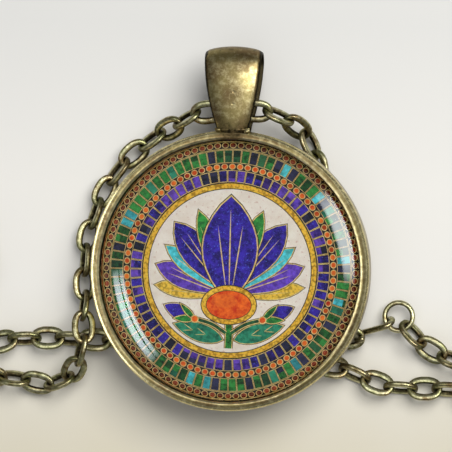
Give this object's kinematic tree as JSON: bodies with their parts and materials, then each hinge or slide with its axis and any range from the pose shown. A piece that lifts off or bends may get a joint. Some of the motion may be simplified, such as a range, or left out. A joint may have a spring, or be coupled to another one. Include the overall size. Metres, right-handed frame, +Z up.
{
  "type": "glass cabochon pendant necklace",
  "caption": "Round domed glass cabochon over a printed disc, in an antique bronze tray with a folded bail on an oval cable chain.",
  "frame": {"origin": "bottom centre of the whole necklace as it lies on a table", "axes": "+X along the two coils of chain, +Y from the pendant towards its bail, +Z up out of the glass"},
  "size_m": [0.0863, 0.0352, 0.0091],
  "materials": {
    "antique_bronze": "antique bronze plating, dark in the recesses and rubbed bright on the edges",
    "clear_glass": "clear and polished",
    "printed_paper": "printed in colour"
  },
  "bodies": {
    "root": {"chain_01": "antique_bronze", "chain_02": "antique_bronze", "chain_03": "antique_bronze", "chain_04": "antique_bronze", "chain_05": "antique_bronze", "chain_06": "antique_bronze", "chain_07": "antique_bronze", "chain_08": "antique_bronze", "chain_09": "antique_bronze", "chain_10": "antique_bronze", "chain_11": "antique_bronze", "chain_12": "antique_bronze", "chain_13": "antique_bronze", "chain_14": "antique_bronze", "chain_15": "antique_bronze", "chain_16": "antique_bronze", "chain_17": "antique_bronze", "chain_18": "antique_bronze", "chain_19": "antique_bronze", "chain_20": "antique_bronze", "chain_21": "antique_bronze", "chain_22": "antique_bronze", "chain_23": "antique_bronze", "chain_24": "antique_bronze", "chain_25": "antique_bronze", "chain_26": "antique_bronze", "chain_27": "antique_bronze", "chain_28": "antique_bronze", "chain_29": "antique_bronze", "chain_30": "antique_bronze", "chain_31": "antique_bronze", "chain_32": "antique_bronze", "chain_33": "antique_bronze", "chain_34": "antique_bronze", "chain_35": "antique_bronze", "chain_36": "antique_bronze", "chain_37": "antique_bronze", "chain_38": "antique_bronze", "clasp_hook": "antique_bronze", "clasp_ring": "antique_bronze", "glass_cabochon": "clear_glass", "pendant_tray": "antique_bronze", "printed_disc": "printed_paper"}
  },
  "joints": []
}
